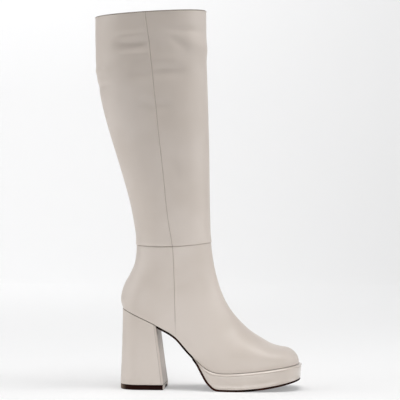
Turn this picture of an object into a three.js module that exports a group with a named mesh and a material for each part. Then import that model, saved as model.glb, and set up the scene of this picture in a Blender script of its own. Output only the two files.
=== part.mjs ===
// Knee-high heeled boot for the right foot: a hollow foot upper and a hollow shaft that meet at the ankle
// seam, an insole, a wrapped platform, a thin outsole that runs up the waist, and a flared block heel on a
// top lift. Millimetres, +Z up, +X towards the toe, +Y towards the inner side of the foot.
import * as THREE from "three";

// Foot and sole
const lastLength = 227; // the heel's rearmost point to the tip of the toe, along the floor
const ballWidth = 90; // over the upper, where the foot is widest
const heelHeight = 103; // floor to the back edge of the heel seat
const seatSetback = 3.2; // that edge in front of the heel's rearmost point
const outsoleThickness = 2.2;
const outsoleInset = 0.9; // behind the platform's side
const outsoleChamfer = 0.4;
const platformThickness = 19.8; // at the ball
const platformThinning = 2; // how much less the platform measures at the toe
const toeSpring = 12.2; // floor to the outsole at the tip of the toe
const platformMargin = 2.2; // how far the platform stands out past the upper
const platformTaper = 1; // how far its side is drawn in at the bottom
const beadHeight = 1.2; // the rounded edge that runs round its top
const beadInset = 0.7;
const noseLength = 19; // stretch over which the toe box falls to the platform
const toeRounding = 60; // stretch over which the toe narrows to its blunt front
const heelRounding = 27; // the same at the back of the heel seat
const toeSwing = 4; // tip of the toe, towards the inner side
const insoleThickness = 2.8;
const insoleClearance = 0.6; // to the upper's wall, all round

// Upper and shaft
const upperWall = 1.8; // outer material and lining together
const shaftWall = 1.8;
const ankleRise = 79; // back edge of the heel seat to the ankle seam
const anklePitch = 3.2; // the seam's front above its back
const ankleDip = 2.4; // and its sides below the line between them
const dipReach = 40; // how far above and below the seam that dip fades
const ankleDepth = 95;
const ankleWidth = 74;
const shaftHeight = 289.5; // ankle seam to collar, at the back
const collarPitch = 7.6; // the collar's front above its back
const collarDepth = 141;
const collarWidth = 96;
const shinSetback = 6.5; // the collar's front behind the ankle's front
const hemStep = 0.7; // how far the shaft's folded lower edge stands out past the upper
const hemFade = 14; // stretch over which that fades

// Heel
const heelTopLength = 45; // heel block under the heel seat, back to breast
const heelFootLength = 57.5; // and where it stands
const heelFlare = 2.8; // the foot of the block behind its top
const heelFootWidth = 59;
const heelWaisting = 2; // how far each side is drawn in half-way down
const liftThickness = 6;
const liftInset = 0.3; // behind the heel's cover, all round
const edgeChamfer = 0.8; // along the lower edges of the heel's cover and of the lift
const breastCorner = 3; // rounding of the heel's two front corners

const fitGap = 0.3; // between pieces that meet on a curved face
const soleGap = 0.5; // under the upper's edge, which is longer and curved both ways

// How finely the shapes are cut into flat faces
const lowSteps = 7; // from the sole's edge to the widest place of a section
const highSteps = 13; // and from there to its ridge
const noseSteps = 6;
const seatSteps = 6;
const soleSteps = 36;
const capSteps = 7;
const heelSteps = 14;
const slopeStep = 0.4; // over which a surface's direction is taken
const leastStep = 1; // between the first two stations of a sole piece

const ballTop = outsoleThickness + platformThickness + fitGap + soleGap; // floor to the upper's edge at the ball
const toeRise = toeSpring - platformThinning; // the same edge at the toe, above the ball
const ankleBackUp = heelHeight + ankleRise;
const ankleFrontUp = ankleBackUp + anklePitch;

// Smooth curve through table rows: a cubic that takes each row's slope from its two neighbours.
function throughRows(places, values) {
  const last = places.length - 1;
  const steps = places.slice(1).map((place, k) => (values[k + 1] - values[k]) / (place - places[k]));
  const slopes = places.map((place, k) => {
    if (k === 0) return steps[0];
    if (k === last) return steps[last - 1];
    const before = place - places[k - 1];
    const after = places[k + 1] - place;
    return (steps[k - 1] * after + steps[k] * before) / (before + after);
  });
  return (at) => {
    let k = 0;
    while (k < last - 1 && at > places[k + 1]) k += 1;
    if (at <= places[0]) return values[0] + slopes[0] * (at - places[0]);
    if (at >= places[last]) return values[last] + slopes[last] * (at - places[last]);
    const span = places[k + 1] - places[k];
    const s = (at - places[k]) / span;
    const start = values[k] * (1 + 2 * s) * (1 - s) ** 2 + slopes[k] * span * s * (1 - s) ** 2;
    return start + values[k + 1] * s * s * (3 - 2 * s) + slopes[k + 1] * span * s * s * (s - 1);
  };
}

function columnCurve(table, along, column) {
  return throughRows(
    table.map((row) => row[along]),
    table.map((row) => row[column]),
  );
}

function easeIn(share) {
  const s = Math.min(1, Math.max(0, share));
  return s * s * (3 - 2 * s);
}

// Superellipse that goes from 0 at its tip to 1 at the end of the rounding.
function rounding(fromTip, stretch, power) {
  const s = Math.min(1, fromTip / stretch);
  if (s < 1e-9) return 0;
  return (1 - (1 - s) ** power) ** (1 / power);
}

// Underside of the last, seen from the side. along: share of the last's length; rise: share of the drop from
// the heel seat to the ball.
const undersideTable = [
  { along: 0.014, rise: 1 },
  { along: 0.114, rise: 0.869 },
  { along: 0.194, rise: 0.76 },
  { along: 0.26, rise: 0.659 },
  { along: 0.297, rise: 0.6 },
  { along: 0.335, rise: 0.514 },
  { along: 0.367, rise: 0.41 },
  { along: 0.393, rise: 0.328 },
  { along: 0.423, rise: 0.242 },
  { along: 0.468, rise: 0.121 },
  { along: 0.522, rise: 0.03 },
  { along: 0.565, rise: 0.005 },
  { along: 0.61, rise: 0 },
];
const undersideRise = columnCurve(undersideTable, "along", "rise");
const springStart = 0.61;
const springPower = 1.5;

function underside(x) {
  const along = x / lastLength;
  const rise = along < springStart ? undersideRise(along) : 0;
  const spring = Math.max(0, (along - springStart) / (1 - springStart)) ** springPower;
  return ballTop + (heelHeight - ballTop) * rise + toeRise * spring;
}

// Edge of the upper seen from above, before its two ends are rounded. outer, inner: half widths on the
// little-toe side and the big-toe side, as shares of the ball width.
const planTable = [
  { along: 0, outer: 0.326, inner: 0.32 },
  { along: 0.16, outer: 0.326, inner: 0.318 },
  { along: 0.26, outer: 0.32, inner: 0.3 },
  { along: 0.35, outer: 0.328, inner: 0.294 },
  { along: 0.44, outer: 0.368, inner: 0.325 },
  { along: 0.53, outer: 0.432, inner: 0.407 },
  { along: 0.62, outer: 0.474, inner: 0.472 },
  { along: 0.71, outer: 0.48, inner: 0.492 },
  { along: 0.83, outer: 0.478, inner: 0.484 },
  { along: 1, outer: 0.478, inner: 0.472 },
];
const planHalf = {
  outer: columnCurve(planTable, "along", "outer"),
  inner: columnCurve(planTable, "along", "inner"),
};
const toePower = 3;
const nosePower = 1.9;
const swellPower = 2.2;
const heelPower = 2.3;

function edgeHalf(x, side, margin) {
  const toe = rounding(lastLength + margin - x, toeRounding + margin, toePower);
  const heel = rounding(x - (seatSetback - margin), heelRounding + margin, heelPower);
  return toe * heel * (planHalf[side](x / lastLength) * ballWidth + margin);
}

function middle(x) {
  return toeSwing * easeIn((x / lastLength - 0.6) / 0.4);
}

// Sections of the foot, from the toe back to the heel seat's back edge. Each plane runs from the sole up to
// the ridge, the front line of the boot. sole, ridge: shares of the last's length; up: share of the climb
// from the ball to the ankle seam; outer, inner: greatest half widths, shares of the ball width; widest: how
// far up the section they lie; roof: how square it is above them; lean: the ridge's shift inwards.
const footTable = [
  { sole: 1, ridge: 1, up: 0.184, outer: 0.492, inner: 0.486, widest: 0.3, roof: 2.5, lean: 0 },
  { sole: 0.914, ridge: 0.918, up: 0.185, outer: 0.492, inner: 0.486, widest: 0.3, roof: 2.45, lean: 0.01 },
  { sole: 0.838, ridge: 0.852, up: 0.206, outer: 0.494, inner: 0.496, widest: 0.3, roof: 2.35, lean: 0.02 },
  { sole: 0.759, ridge: 0.786, up: 0.258, outer: 0.494, inner: 0.504, widest: 0.29, roof: 2.2, lean: 0.03 },
  { sole: 0.68, ridge: 0.726, up: 0.314, outer: 0.494, inner: 0.502, widest: 0.28, roof: 2.05, lean: 0.04 },
  { sole: 0.6045, ridge: 0.6775, up: 0.3775, outer: 0.486, inner: 0.478, widest: 0.27, roof: 1.95, lean: 0.045 },
  { sole: 0.5295, ridge: 0.64, up: 0.4355, outer: 0.458, inner: 0.436, widest: 0.27, roof: 1.88, lean: 0.045 },
  { sole: 0.468, ridge: 0.6135, up: 0.4865, outer: 0.43, inner: 0.398, widest: 0.28, roof: 1.84, lean: 0.04 },
  { sole: 0.4228, ridge: 0.5935, up: 0.533, outer: 0.406, inner: 0.374, widest: 0.3, roof: 1.82, lean: 0.035 },
  { sole: 0.3663, ridge: 0.578, up: 0.578, outer: 0.386, inner: 0.358, widest: 0.32, roof: 1.82, lean: 0.03 },
  { sole: 0.309, ridge: 0.565, up: 0.624, outer: 0.374, inner: 0.352, widest: 0.33, roof: 1.83, lean: 0.025 },
  { sole: 0.2295, ridge: 0.554, up: 0.669, outer: 0.368, inner: 0.352, widest: 0.34, roof: 1.85, lean: 0.02 },
  { sole: 0.15, ridge: 0.545, up: 0.7155, outer: 0.366, inner: 0.356, widest: 0.35, roof: 1.87, lean: 0.015 },
  { sole: 0.0795, ridge: 0.5375, up: 0.752, outer: 0.366, inner: 0.36, widest: 0.36, roof: 1.89, lean: 0.01 },
];

// Sections of the ankle, from the heel seat's back edge up to the ankle seam. back, backUp: the rear end of
// the plane, from the heel seat's back edge, as shares of the last's length and of the climb to the seam;
// bend, square: stretch over which the back is rounded, as a share of the ankle's depth, and its power.
const ankleTable = [
  { back: 0, backUp: 0, ridge: 0.532, up: 0.786, outer: 0.367, inner: 0.362, widest: 0.38, roof: 1.91, lean: 0.005 },
  { back: -0.0091, backUp: 0.098, ridge: 0.528, up: 0.814, outer: 0.368, inner: 0.365, widest: 0.4, roof: 1.92, lean: 0 },
  { back: -0.005, backUp: 0.244, ridge: 0.524, up: 0.8445, outer: 0.37, inner: 0.368, widest: 0.42, roof: 1.94, lean: 0 },
  { back: 0.0125, backUp: 0.39, ridge: 0.52, up: 0.878, outer: 0.374, inner: 0.373, widest: 0.44, roof: 1.96, lean: 0 },
  { back: 0.041, backUp: 0.536, ridge: 0.5165, up: 0.912, outer: 0.38, inner: 0.38, widest: 0.46, roof: 1.98, lean: 0 },
  { back: 0.0655, backUp: 0.695, ridge: 0.5135, up: 0.946, outer: 0.388, inner: 0.388, widest: 0.48, roof: 2, lean: 0 },
  { back: 0.075, backUp: 0.854, ridge: 0.5115, up: 0.9735, outer: 0.399, inner: 0.399, widest: 0.49, roof: 2, lean: 0 },
];
const backBendTable = [
  { up: 0, bend: 0.284, square: 2.3 },
  { up: 0.25, bend: 0.34, square: 2.26 },
  { up: 0.5, bend: 0.4, square: 2.2 },
  { up: 0.75, bend: 0.46, square: 2.16 },
  { up: 1, bend: 0.5, square: 2.12 },
];

// Sections of the shaft, from the ankle seam up to the collar. back, front, width: shares of the change from
// the ankle's size to the collar's.
const ankleFront = 0.51; // the ankle's front, as a share of the last's length
const shaftTable = [
  { height: 0, back: 0, front: 0, width: 0, roof: 2.02 },
  { height: 0.1, back: 0.067, front: 0.17, width: 0.1, roof: 2.04 },
  { height: 0.2, back: 0.175, front: 0.26, width: 0.28, roof: 2.06 },
  { height: 0.3, back: 0.33, front: 0.32, width: 0.46, roof: 2.08 },
  { height: 0.4, back: 0.499, front: 0.39, width: 0.63, roof: 2.1 },
  { height: 0.5, back: 0.666, front: 0.5, width: 0.77, roof: 2.1 },
  { height: 0.6, back: 0.818, front: 0.62, width: 0.88, roof: 2.1 },
  { height: 0.7, back: 0.927, front: 0.75, width: 0.95, roof: 2.1 },
  { height: 0.8, back: 0.99, front: 0.88, width: 0.99, roof: 2.12 },
  { height: 0.9, back: 1, front: 0.95, width: 1, roof: 2.14 },
  { height: 1, back: 1, front: 1, width: 1, roof: 2.16 },
];

function footRow(row) {
  return {
    backX: row.sole * lastLength,
    backZ: underside(row.sole * lastLength),
    frontX: row.ridge * lastLength,
    frontZ: ballTop + row.up * (ankleFrontUp - ballTop),
    outer: row.outer * ballWidth,
    inner: row.inner * ballWidth,
    widest: row.widest,
    roof: row.roof,
    lean: row.lean * ballWidth,
  };
}

function ankleRow(row) {
  return {
    backX: seatSetback + row.back * lastLength,
    backZ: heelHeight + row.backUp * ankleRise,
    frontX: row.ridge * lastLength,
    frontZ: ballTop + row.up * (ankleFrontUp - ballTop),
    outer: row.outer * ballWidth,
    inner: row.inner * ballWidth,
    widest: row.widest,
    roof: row.roof,
    lean: row.lean * ballWidth,
  };
}

function shaftRow(row) {
  const frontAtAnkle = ankleFront * lastLength;
  const backAtAnkle = frontAtAnkle - ankleDepth;
  const backAtCollar = frontAtAnkle - shinSetback - collarDepth;
  const half = (ankleWidth + row.width * (collarWidth - ankleWidth)) / 2;
  const backZ = ankleBackUp + row.height * shaftHeight;
  return {
    backX: backAtAnkle + row.back * (backAtCollar - backAtAnkle),
    backZ,
    frontX: frontAtAnkle - row.front * shinSetback,
    frontZ: backZ + anklePitch + row.height * (collarPitch - anklePitch),
    outer: half,
    inner: half,
    widest: 0.5,
    roof: row.roof,
    lean: 0,
  };
}

// All sections in one line, placed by the mean distance between the ends of neighbouring planes.
const rows = [...footTable.map(footRow), ...ankleTable.map(ankleRow), ...shaftTable.map(shaftRow)];
const places = [0];
rows.slice(1).forEach((row, k) => {
  const before = rows[k];
  const backStep = Math.hypot(row.backX - before.backX, row.backZ - before.backZ);
  const frontStep = Math.hypot(row.frontX - before.frontX, row.frontZ - before.frontZ);
  places.push(places[k] + (backStep + frontStep) / 2);
});
const sectionCurves = {};
for (const column of Object.keys(rows[0])) {
  sectionCurves[column] = throughRows(
    places,
    rows.map((row) => row[column]),
  );
}
const heelSeatPlace = places[footTable.length];
const ankleSeamPlace = places[footTable.length + ankleTable.length];

// Line of the boot's back, seen from the side, and how it is rounded across, by height.
const backRows = rows.slice(footTable.length);
const backHeights = backRows.map((row) => row.backZ);
const backLine = throughRows(
  backHeights,
  backRows.map((row) => row.backX),
);
const bendHeights = backBendTable.map((row) => heelHeight + row.up * ankleRise);
const shaftBends = [0.25, 0.5, 0.75, 1].map((share) => ankleBackUp + share * shaftHeight);
const backBend = throughRows(
  [...bendHeights, ...shaftBends],
  [
    ...backBendTable.map((row) => row.bend * ankleDepth),
    ...shaftBends.map((height) => (ankleFront * lastLength - backLine(height)) / 2),
  ],
);
const backSquare = throughRows(
  bendHeights,
  backBendTable.map((row) => row.square),
);

function backRounding(x, z) {
  const height = Math.max(heelHeight, z);
  return rounding(x - backLine(height), backBend(height), backSquare(Math.min(height, ankleBackUp)));
}

function sectionAt(place) {
  const section = {};
  for (const column of Object.keys(sectionCurves)) section[column] = sectionCurves[column](place);
  section.middle = 0;
  section.dip = ankleDip * easeIn(1 - Math.abs(place - ankleSeamPlace) / dipReach);
  const climb = easeIn((place - heelSeatPlace) / (ankleSeamPlace - heelSeatPlace));
  section.edge = {};
  for (const side of ["outer", "inner"]) {
    const edge = planHalf[side](Math.max(0, section.backX) / lastLength) * ballWidth;
    section.edge[side] = edge + climb * (section[side] - edge);
  }
  section.toe = 1;
  if (place >= heelSeatPlace) section.backX = backLine(section.backZ);
  if (place < heelSeatPlace) {
    section.middle = middle(section.backX);
    section.backZ = underside(section.backX);
    section.toe = rounding(lastLength - section.backX, toeRounding, toePower);
    const nose = rounding(lastLength - section.backX, noseLength, nosePower);
    section.lean *= section.toe;
    section.frontZ = section.backZ + nose * (section.frontZ - section.backZ);
  }
  return section;
}

// One side of a section as [half width, share of the way up], from the sole's edge to the ridge. From the
// edge it swells out to the widest place, and above it a superellipse closes it.
function sideLine(section, side) {
  const { widest, roof, edge, toe, backX, backZ, frontX, frontZ } = section;
  const low = Array.from({ length: lowSteps }, (_, k) => {
    return widest * (1 - Math.cos((Math.PI / 2) * (k / lowSteps)));
  });
  const high = Array.from({ length: highSteps + 1 }, (_, k) => {
    return widest + (1 - widest) * Math.sin((Math.PI / 2) * (k / highSteps)) ** (2 / roof);
  });
  return [...low, ...high].map((share) => {
    const swell = 1 - (1 - Math.min(1, share / widest)) ** swellPower;
    const over = Math.max(0, (share - widest) / (1 - widest));
    const close = Math.max(0, 1 - over ** roof) ** (1 / roof);
    const back = backRounding(backX + share * (frontX - backX), backZ + share * (frontZ - backZ));
    return [back * toe * close * (edge[side] + swell * (section[side] - edge[side])), share];
  });
}

// A section's points in space, from the outer edge of the sole over the ridge to the inner edge.
function sectionLoop(place) {
  const section = sectionAt(place);
  const toSpace = ([half, share], sign) => {
    const dip = section.dip * (half / section.outer) ** 2;
    return new THREE.Vector3(
      section.backX + share * (section.frontX - section.backX),
      section.middle + sign * half + section.lean * easeIn(share),
      section.backZ + share * (section.frontZ - section.backZ) - dip,
    );
  };
  const outer = sideLine(section, "outer").map((point) => toSpace(point, -1));
  const inner = sideLine(section, "inner").map((point) => toSpace(point, 1));
  return [...outer, ...inner.reverse().slice(1)];
}

// The same loop moved inwards, square to the surface.
function movedLoop(place, wall) {
  const here = sectionLoop(place);
  const last = here.length - 1;
  const closed = place >= heelSeatPlace;
  const low = Math.max(closed ? heelSeatPlace : 0, place - slopeStep);
  const high = closed ? place + slopeStep : Math.min(heelSeatPlace, place + slopeStep);
  const below = sectionLoop(low);
  const above = sectionLoop(high);
  const moved = here.map((point, j) => {
    const before = here[j > 0 ? j - 1 : closed ? last - 1 : 0];
    const after = here[j < last ? j + 1 : closed ? 1 : last];
    const around = after.clone().sub(before);
    const up = above[j].clone().sub(below[j]);
    const inwards = up.cross(around).normalize();
    const target = point.clone().addScaledVector(inwards, wall);
    if (!closed && (j === 0 || j === last)) target.z = underside(target.x);
    return target;
  });
  if (closed) moved[last] = moved[0].clone();
  return moved;
}

// A closed solid from points and triangles: points that coincide are joined and empty triangles dropped.
function solid(name, points, triangles, material) {
  const positions = [];
  const known = new Map();
  const joined = points.map((point) => {
    const key = [point.x, point.y, point.z].map((value) => Math.round(value * 1e4)).join(",");
    if (!known.has(key)) {
      known.set(key, known.size);
      positions.push(point.x, point.y, point.z);
    }
    return known.get(key);
  });
  const index = triangles
    .map((triangle) => triangle.map((corner) => joined[corner]))
    .filter(([a, b, c]) => a !== b && b !== c && a !== c)
    .flat();
  const geometry = new THREE.BufferGeometry();
  geometry.setAttribute("position", new THREE.Float32BufferAttribute(positions, 3));
  geometry.setIndex(index);
  geometry.computeVertexNormals();
  const mesh = new THREE.Mesh(geometry, material);
  mesh.name = name;
  return mesh;
}

// Two triangles for each cell between two lines of the same number of points.
function strip(triangles, first, second, count) {
  for (let k = 0; k < count; k += 1) {
    triangles.push([first + k, first + k + 1, second + k + 1], [first + k, second + k + 1, second + k]);
  }
}

// A hollow wall between an outer and an inner surface, each a list of loops, open at both ends.
function wallBetween(name, outerLoops, innerLoops, material) {
  const count = outerLoops[0].length;
  const points = [...outerLoops.flat(), ...innerLoops.flat()];
  const inside = outerLoops.length * count;
  const triangles = [];
  for (let i = 0; i < outerLoops.length - 1; i += 1) {
    strip(triangles, i * count, (i + 1) * count, count - 1);
    strip(triangles, inside + (i + 1) * count, inside + i * count, count - 1);
    for (const [edge, flip] of [[0, false], [count - 1, true]]) {
      const [a, b] = [i * count + edge, (i + 1) * count + edge];
      const corners = [
        [a, b, inside + b],
        [a, inside + b, inside + a],
      ];
      const open = [i, i + 1].some((k) => outerLoops[k][0].distanceTo(outerLoops[k][count - 1]) > 1e-3);
      if (open) triangles.push(...corners.map((corner) => (flip ? corner.reverse() : corner)));
    }
  }
  const top = (outerLoops.length - 1) * count;
  strip(triangles, top, inside + top, count - 1);
  if (outerLoops[0][0].distanceTo(outerLoops[0][count - 1]) < 1e-3) strip(triangles, inside, 0, count - 1);
  return solid(name, points, triangles, material);
}

// A slab whose outline is given at matching stations on its outer and inner side, layer over layer.
function slab(name, layers, material) {
  const stations = layers[0].length;
  const count = 2 * stations;
  const points = [];
  for (const layer of layers) {
    points.push(...layer.map((station) => station.outer));
    points.push(...[...layer].reverse().map((station) => station.inner));
  }
  const triangles = [];
  for (let layer = 0; layer < layers.length - 1; layer += 1) {
    for (let k = 0; k < count; k += 1) {
      const next = (k + 1) % count;
      const [a, b] = [layer * count + k, layer * count + next];
      triangles.push([a, b, b + count], [a, b + count, a + count]);
    }
  }
  const top = (layers.length - 1) * count;
  for (let k = 0; k < stations - 1; k += 1) {
    const across = count - 1 - k;
    triangles.push([k, across, across - 1], [k, across - 1, k + 1]);
    triangles.push([top + k, top + k + 1, top + across - 1], [top + k, top + across - 1, top + across]);
  }
  return solid(name, points, triangles, material);
}

function station(x, y, z) {
  return { outer: new THREE.Vector3(x, y[0], z), inner: new THREE.Vector3(x, y[1], z) };
}

function edges(x, margin) {
  return [middle(x) - edgeHalf(x, "outer", margin), middle(x) + edgeHalf(x, "inner", margin)];
}

// Stations from start to the toe's tip. All pieces of the sole share those in between, so that their faceted
// surfaces keep their gap. They lie closer together where the outline turns round the toe.
function stationsToToe(start, tip) {
  const stretch = lastLength - noseLength;
  const shared = Array.from({ length: soleSteps + 1 }, (_, k) => (stretch * k) / soleSteps);
  const turn = Array.from({ length: capSteps }, (_, k) => {
    const angle = (Math.PI / 2) * ((k + 1) / capSteps);
    return stretch + (tip - stretch) * Math.sin(angle);
  });
  return [start, ...shared.filter((x) => x > start + leastStep), ...turn];
}

const paleLeather = new THREE.MeshStandardMaterial({ color: 0xd5ccc0, roughness: 0.5, metalness: 0 });
const paleLining = new THREE.MeshStandardMaterial({ color: 0xcfc3b2, roughness: 0.8, metalness: 0 });
const brownRubber = new THREE.MeshStandardMaterial({ color: 0x2c1a12, roughness: 0.6, metalness: 0 });

function makeUpper() {
  const nose = Array.from({ length: noseSteps }, (_, k) => {
    const fromTip = noseLength * (1 - Math.cos((Math.PI / 2) * (k / noseSteps)));
    return (places[1] * fromTip) / (rows[0].backX - rows[1].backX);
  });
  const foot = footTable.length - 1;
  const sole = places.slice(1, foot).flatMap((place, k) => [place, (place + places[k + 2]) / 2]);
  const seat = Array.from({ length: seatSteps }, (_, k) => {
    const share = Math.sin((Math.PI / 2) * (k / seatSteps));
    return places[foot] + share * (heelSeatPlace - places[foot]);
  });
  const ankle = places.slice(footTable.length, footTable.length + ankleTable.length + 1);
  const stops = [...nose, ...sole, ...seat, ...ankle];
  const outer = stops.map((place) => sectionLoop(place));
  const inner = stops.map((place) => movedLoop(place, upperWall));
  const tip = outer[0][0];
  const innerTip = new THREE.Vector3(tip.x - upperWall, tip.y, underside(tip.x - upperWall));
  inner[0] = inner[0].map(() => innerTip);
  return wallBetween("upper", outer, inner, paleLeather);
}

// The shaft's folded lower edge stands a little proud of the upper.
function makeShaft() {
  const above = places.slice(footTable.length + ankleTable.length + 1);
  const hem = [0, 0.35, 0.7, 1].map((share) => ankleSeamPlace + fitGap + share * hemFade);
  const stops = [...hem, ...above];
  const lift = (place) => hemStep * easeIn(1 - (place - ankleSeamPlace - fitGap) / hemFade);
  const outer = stops.map((place) => movedLoop(place, -lift(place)));
  const inner = stops.map((place) => movedLoop(place, shaftWall - lift(place)));
  return wallBetween("shaft", outer, inner, paleLeather);
}

// Share of the height between the upper's edge and the floor that the platform takes up, from the tip of its
// wedge at the waist to the ball.
const wedgeTable = [
  { along: 0.4225, depth: 0.012 },
  { along: 0.451, depth: 0.085 },
  { along: 0.476, depth: 0.3 },
  { along: 0.4985, depth: 0.555 },
  { along: 0.52, depth: 0.766 },
  { along: 0.539, depth: 0.92 },
  { along: 0.5575, depth: 0.98 },
  { along: 0.58, depth: 1 },
];
const wedgeDepth = columnCurve(wedgeTable, "along", "depth");
const wedgeTip = wedgeTable[0].along * lastLength;
const treadEnd = 0.655; // where the outsole leaves the floor, as a share of the last's length
const treadPower = 1.85;

// Height of a line that runs below another, seen from the side, with a gap measured square to it.
function lineBelow(height, x, gap) {
  const step = 0.01 * lastLength;
  const slope = (height(x + step) - height(x - step)) / (2 * step);
  return height(x) - gap * Math.hypot(1, slope);
}

function platformTop(x) {
  return lineBelow(underside, x, soleGap);
}

function platformBottom(x) {
  const along = x / lastLength;
  const spring = Math.max(0, (along - treadEnd) / (1 - treadEnd)) ** treadPower;
  const flat = outsoleThickness + fitGap + toeSpring * spring;
  const depth = along < wedgeTable[wedgeTable.length - 1].along ? wedgeDepth(along) : 1;
  return platformTop(x) - depth * (platformTop(x) - flat);
}

function soleMargin(x) {
  return platformMargin * easeIn((x / lastLength - 0.41) / 0.06);
}

function makePlatform() {
  const layer = (inset, height) =>
    stationsToToe(wedgeTip, lastLength + platformMargin - inset).map((x) => {
      const thick = platformTop(x) - platformBottom(x);
      return station(x, edges(x, soleMargin(x) - inset), platformBottom(x) + height(thick));
    });
  return slab(
    "platform",
    [
      layer(platformTaper + edgeChamfer, () => 0),
      layer(platformTaper, (thick) => Math.min(edgeChamfer, 0.2 * thick)),
      layer(0.1 * platformTaper, (thick) => Math.max(thick - 2 * beadHeight, 0.5 * thick)),
      layer(0, (thick) => Math.max(thick - beadHeight, 0.7 * thick)),
      layer(0.3 * beadInset, (thick) => Math.max(thick - 0.4 * beadHeight, 0.85 * thick)),
      layer(beadInset, (thick) => thick),
    ],
    paleLeather,
  );
}

// Points of a thin sheet's two faces along a line seen from the side: below is square to the line.
function sheetProfile(xs, height, thickness) {
  const step = 0.5;
  return xs.map((x, k) => {
    const ahead = xs[Math.min(k + 1, xs.length - 1)] - step > x ? step : 0;
    const behind = k > 0 ? step : 0;
    const slope = (height(x + ahead) - height(x - behind)) / (ahead + behind || step);
    const length = Math.hypot(1, slope);
    return { x, z: height(x), x2: x + (thickness * slope) / length, z2: height(x) - thickness / length };
  });
}

function outsoleTop(x) {
  return x < wedgeTip ? platformTop(x) : lineBelow(platformBottom, x, fitGap);
}

function makeOutsole() {
  const start = seatSetback + heelTopLength + 2 * fitGap;
  const layer = (share, inset) => {
    const margin = platformMargin - outsoleInset - inset;
    const profile = sheetProfile(stationsToToe(start, lastLength + margin), outsoleTop, outsoleThickness);
    return profile.map((point) => {
      const across = edges(point.x, soleMargin(point.x) - outsoleInset - inset);
      const x = Math.max(start, point.x + share * (point.x2 - point.x));
      return station(x, across, Math.max(0, point.z + share * (point.z2 - point.z)));
    });
  };
  return slab("outsole", [layer(1, outsoleChamfer), layer(0.7, 0), layer(0, 0)], brownRubber);
}

// Outline of the heel at a share of the way down from the seat: back, breast and half widths.
function heelRing(down) {
  const drawnIn = heelWaisting * 4 * down * (1 - down);
  return {
    back: seatSetback - heelFlare * down ** 1.6,
    breast: seatSetback + heelTopLength + down * (heelFootLength - heelFlare - heelTopLength),
    widen: (side) => (heelFootWidth / 2 - planHalf[side](0.1) * ballWidth) * down - drawnIn,
  };
}

function heelLayer(down, height, inset) {
  const ring = heelRing(down);
  const back = ring.back + inset;
  const breast = ring.breast - inset;
  const shares = Array.from({ length: heelSteps + 1 }, (_, k) => {
    return 1 - Math.cos((Math.PI / 2) * (k / heelSteps));
  });
  const xs = shares.map((share) => back + share * (breast - back));
  return xs.map((x) => {
    const round = rounding(x - back, heelRounding, heelPower);
    const corner = rounding(breast - x, breastCorner, 2);
    const half = (side) => {
      const full = planHalf[side](0.1) * ballWidth + ring.widen(side) - inset;
      return round * full - breastCorner * (1 - corner);
    };
    return station(x, [-half("outer"), half("inner")], height(x));
  });
}

function makeHeel() {
  const floorEnd = liftThickness + fitGap;
  const seat = (x) => lineBelow(underside, x, soleGap);
  const level = (down) => (x) => floorEnd + (1 - down) * (seat(x) - floorEnd);
  const chamfered = 1 - edgeChamfer / (heelHeight - floorEnd);
  const downs = [chamfered, 0.8, 0.6, 0.4, 0.2, 0];
  return slab(
    "heel",
    [heelLayer(1, level(1), edgeChamfer), ...downs.map((down) => heelLayer(down, level(down), 0))],
    paleLeather,
  );
}

function makeLift() {
  const level = (z) => () => z;
  return slab(
    "top_lift",
    [
      heelLayer(1, level(0), liftInset + edgeChamfer),
      heelLayer(1, level(edgeChamfer), liftInset),
      heelLayer(1, level(liftThickness), liftInset),
    ],
    brownRubber,
  );
}

function makeInsole() {
  const inset = upperWall + insoleClearance;
  const start = seatSetback + inset;
  const tip = lastLength - inset;
  const bend = start + heelRounding;
  const heelEnd = Array.from({ length: capSteps }, (_, k) => {
    const angle = (Math.PI / 2) * (k / capSteps);
    return start + heelRounding * (1 - Math.cos(angle));
  });
  const xs = [...heelEnd, ...stationsToToe(bend, tip)];
  const profile = sheetProfile(xs, (x) => lineBelow(underside, x, -fitGap), -insoleThickness);
  const layer = (share) =>
    profile.map((point) => {
      const across = edges(point.x, -inset);
      return station(point.x + share * (point.x2 - point.x), across, point.z + share * (point.z2 - point.z));
    });
  return slab("insole", [layer(0), layer(1)], paleLining);
}

const boot = new THREE.Group();
boot.add(makeUpper(), makeShaft(), makeInsole(), makePlatform(), makeOutsole(), makeHeel(), makeLift());

// The origin is on the floor, in the middle of the boot's box.
const box = new THREE.Box3().setFromObject(boot);
boot.position.set(-(box.min.x + box.max.x) / 2, -(box.min.y + box.max.y) / 2, -box.min.z);

export default boot;
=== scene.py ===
# Knee-high heeled boot for the right foot in smooth cream synthetic leather: hollow upper and shaft, wrapped
# platform and flared heel, thin dark outsole and top lift. The script follows it as it is put together.
import math
import bmesh
import bpy
import numpy as np
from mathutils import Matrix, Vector, noise


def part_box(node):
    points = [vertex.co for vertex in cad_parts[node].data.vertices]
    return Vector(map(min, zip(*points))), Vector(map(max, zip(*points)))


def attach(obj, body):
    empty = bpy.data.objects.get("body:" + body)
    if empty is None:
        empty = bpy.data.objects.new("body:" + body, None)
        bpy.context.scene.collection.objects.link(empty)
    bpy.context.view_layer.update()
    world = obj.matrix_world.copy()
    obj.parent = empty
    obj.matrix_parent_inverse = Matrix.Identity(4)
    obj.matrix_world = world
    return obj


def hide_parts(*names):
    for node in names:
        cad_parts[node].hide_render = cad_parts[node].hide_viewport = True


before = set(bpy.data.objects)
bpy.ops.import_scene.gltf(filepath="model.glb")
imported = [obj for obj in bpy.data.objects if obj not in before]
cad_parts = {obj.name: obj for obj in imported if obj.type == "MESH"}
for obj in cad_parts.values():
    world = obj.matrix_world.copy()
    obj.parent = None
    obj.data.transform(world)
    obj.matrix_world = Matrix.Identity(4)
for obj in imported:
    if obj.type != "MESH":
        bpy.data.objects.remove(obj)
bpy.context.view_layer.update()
mm = 0.001


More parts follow.
